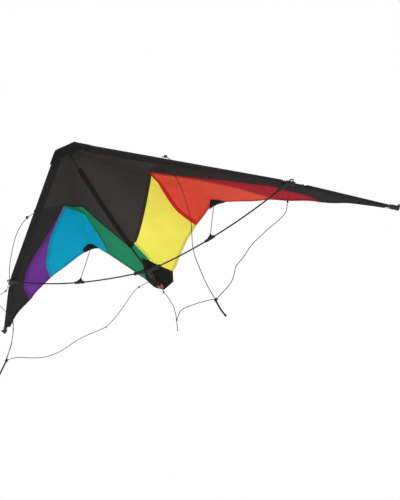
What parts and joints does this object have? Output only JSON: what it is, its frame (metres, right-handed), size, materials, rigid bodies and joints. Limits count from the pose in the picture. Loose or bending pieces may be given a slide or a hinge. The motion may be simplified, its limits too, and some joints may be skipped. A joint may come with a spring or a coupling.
{
  "type": "sport kite",
  "caption": "Two-line delta sport kite with a black sail and rainbow panels, bowed lower spreaders, standoffs and a slack bridle.",
  "frame": {"origin": "centre of the tee fitting on the spine's axis", "axes": "+X to the right wing, +Y along the spine towards the tail, +Z to the back of the sail, away from the bridle"},
  "size_m": [1.2352, 0.4939, 0.4844],
  "materials": {
    "black_ripstop": "matte woven",
    "yellow_ripstop": "matte woven",
    "orange_ripstop": "matte woven",
    "crimson_ripstop": "matte woven",
    "green_ripstop": "matte woven",
    "blue_ripstop": "matte woven",
    "purple_ripstop": "matte woven",
    "nose_webbing": "matte woven",
    "black_rod": "smooth",
    "standoff_rod": "smooth",
    "black_fitting": "moulded",
    "black_vinyl": "soft gloss",
    "red_cap": "gloss",
    "bridle_line": "braided",
    "elastic": "matte"
  },
  "bodies": {
    "keel": {"spine": "black_rod", "spine_nose_cap": "black_vinyl", "spine_sleeve": "nose_webbing", "nose_patch": "nose_webbing", "tee_core": "black_fitting", "tail_cap": "red_cap"},
    "right_wing": {"right_leading_edge_spar": "black_rod", "right_leading_edge_sleeve": "black_ripstop", "right_spar_nose_cap": "black_vinyl", "right_wingtip_nock": "black_fitting", "right_wingtip_lashing": "elastic", "right_edge_connector": "black_fitting", "right_connector_stops": "black_vinyl", "right_lower_spreader": "black_rod", "right_tee_arm": "black_fitting", "right_standoff_patch": "nose_webbing", "right_tail_patch": "nose_webbing", "right_centre_panel": "black_ripstop", "right_upper_leg": "bridle_line", "right_lower_leg": "bridle_line", "right_inner_leg": "bridle_line", "right_adjuster_line": "bridle_line", "right_tow_pigtail": "bridle_line", "right_bridle_knots": "bridle_line", "right_inner_panel": "yellow_ripstop", "right_middle_panel": "orange_ripstop", "right_outer_panel": "crimson_ripstop", "right_edge_panel": "black_ripstop"},
    "right_standoff_set": {"right_standoff_connector": "black_fitting", "right_standoff": "standoff_rod", "right_standoff_cap": "black_vinyl"},
    "left_wing": {"left_leading_edge_spar": "black_rod", "left_leading_edge_sleeve": "black_ripstop", "left_spar_nose_cap": "black_vinyl", "left_wingtip_nock": "black_fitting", "left_wingtip_lashing": "elastic", "left_edge_connector": "black_fitting", "left_connector_stops": "black_vinyl", "left_lower_spreader": "black_rod", "left_tee_arm": "black_fitting", "left_standoff_patch": "nose_webbing", "left_tail_patch": "nose_webbing", "left_centre_panel": "black_ripstop", "left_upper_leg": "bridle_line", "left_lower_leg": "bridle_line", "left_inner_leg": "bridle_line", "left_adjuster_line": "bridle_line", "left_tow_pigtail": "bridle_line", "left_bridle_knots": "bridle_line", "left_inner_panel": "green_ripstop", "left_middle_panel": "blue_ripstop", "left_outer_panel": "purple_ripstop", "left_edge_panel": "black_ripstop"},
    "left_standoff_set": {"left_standoff_connector": "black_fitting", "left_standoff": "standoff_rod", "left_standoff_cap": "black_vinyl"}
  },
  "joints": [
    {"name": "right_wing_fold", "type": "hinge", "parent": "keel", "child": "right_wing", "pos_m": [0, 0, 0.013], "axis": [0, -1, 0], "range_deg": [0, 45]},
    {"name": "left_wing_fold", "type": "hinge", "parent": "keel", "child": "left_wing", "pos_m": [0, 0, 0.013], "axis": [0, 1, 0], "range_deg": [0, 45]},
    {"name": "right_standoff_swing", "type": "hinge", "parent": "right_wing", "child": "right_standoff_set", "pos_m": [0.186, -0.034, -0.003], "axis": [-0.9775, 0.1904, -0.0912], "range_deg": [0, 80]},
    {"name": "left_standoff_swing", "type": "hinge", "parent": "left_wing", "child": "left_standoff_set", "pos_m": [-0.186, -0.034, -0.003], "axis": [-0.9775, -0.1904, 0.0912], "range_deg": [0, 80]}
  ]
}
